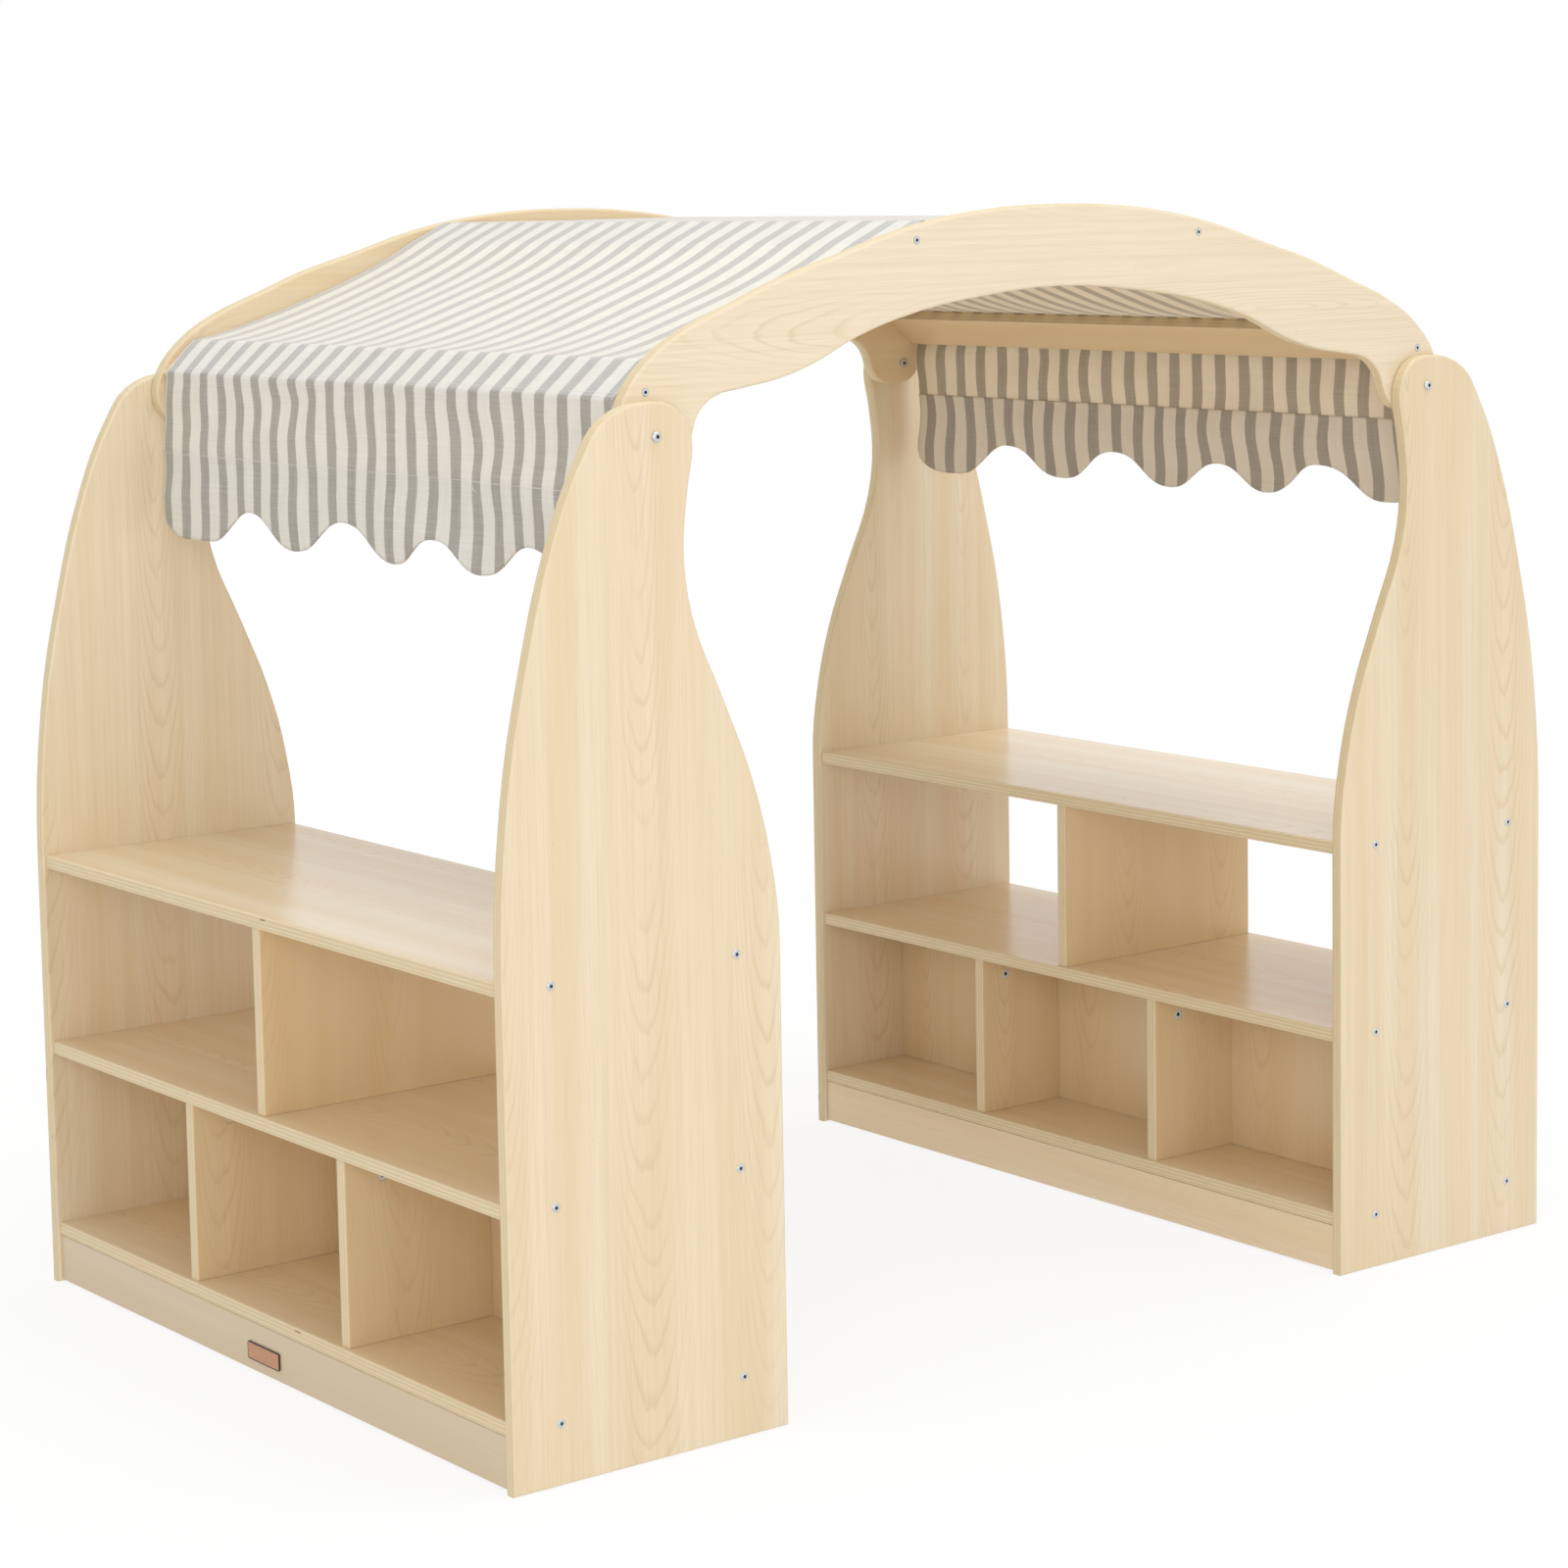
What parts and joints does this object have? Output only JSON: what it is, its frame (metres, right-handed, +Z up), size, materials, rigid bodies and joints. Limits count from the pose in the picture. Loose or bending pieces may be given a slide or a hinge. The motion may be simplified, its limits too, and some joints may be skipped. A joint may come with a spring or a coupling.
{
  "type": "toy grocery store",
  "caption": "Walk-through play store: two open wooden shelf units with counters, joined by arched boards under a striped cloth canopy with scalloped valances.",
  "frame": {"origin": "on the floor, midway between the two units and midway from front to back", "axes": "+X from the left unit to the right unit, +Y from the front arch to the back arch, +Z up"},
  "size_m": [1.755, 1.1674, 1.469],
  "materials": {
    "maple_panel": "semi-gloss clear lacquer on pale veneered plywood",
    "maple_shelf": "semi-gloss clear lacquer, grain along the board",
    "canvas": "cream and grey striped cotton canvas",
    "zinc_steel": "bright zinc plate",
    "plate": "bare brown plate"
  },
  "bodies": {
    "root": {"left_front_side_panel": "maple_panel", "left_back_side_panel": "maple_panel", "left_counter_top": "maple_shelf", "left_middle_shelf": "maple_shelf", "left_bottom_shelf": "maple_shelf", "left_outer_toe_board": "maple_panel", "left_inner_toe_board": "maple_panel", "left_upper_divider": "maple_panel", "left_lower_back_panel": "maple_panel", "left_outer_front_divider": "maple_panel", "left_outer_back_divider": "maple_panel", "left_inner_front_divider": "maple_panel", "left_inner_back_divider": "maple_panel", "right_front_side_panel": "maple_panel", "right_back_side_panel": "maple_panel", "right_counter_top": "maple_shelf", "right_middle_shelf": "maple_shelf", "right_bottom_shelf": "maple_shelf", "right_outer_toe_board": "maple_panel", "right_inner_toe_board": "maple_panel", "right_upper_divider": "maple_panel", "right_lower_back_panel": "maple_panel", "right_outer_front_divider": "maple_panel", "right_outer_back_divider": "maple_panel", "right_inner_front_divider": "maple_panel", "right_inner_back_divider": "maple_panel", "front_arch": "maple_panel", "back_arch": "maple_panel", "left_end_slat": "maple_panel", "left_top_slat": "maple_panel", "right_end_slat": "maple_panel", "right_top_slat": "maple_panel", "canopy_roof": "canvas", "left_valance": "canvas", "right_valance": "canvas", "left_front_bolt": "zinc_steel", "left_front_nut": "zinc_steel", "left_end_front_screw": "zinc_steel", "left_top_front_screw": "zinc_steel", "left_outer_front_cam": "zinc_steel", "left_inner_front_cam": "zinc_steel", "left_back_bolt": "zinc_steel", "left_back_nut": "zinc_steel", "left_end_back_screw": "zinc_steel", "left_top_back_screw": "zinc_steel", "left_outer_back_cam": "zinc_steel", "left_inner_back_cam": "zinc_steel", "right_front_bolt": "zinc_steel", "right_front_nut": "zinc_steel", "right_end_front_screw": "zinc_steel", "right_top_front_screw": "zinc_steel", "right_outer_front_cam": "zinc_steel", "right_inner_front_cam": "zinc_steel", "right_back_bolt": "zinc_steel", "right_back_nut": "zinc_steel", "right_end_back_screw": "zinc_steel", "right_top_back_screw": "zinc_steel", "right_outer_back_cam": "zinc_steel", "right_inner_back_cam": "zinc_steel", "blank_plate": "plate"}
  },
  "joints": []
}
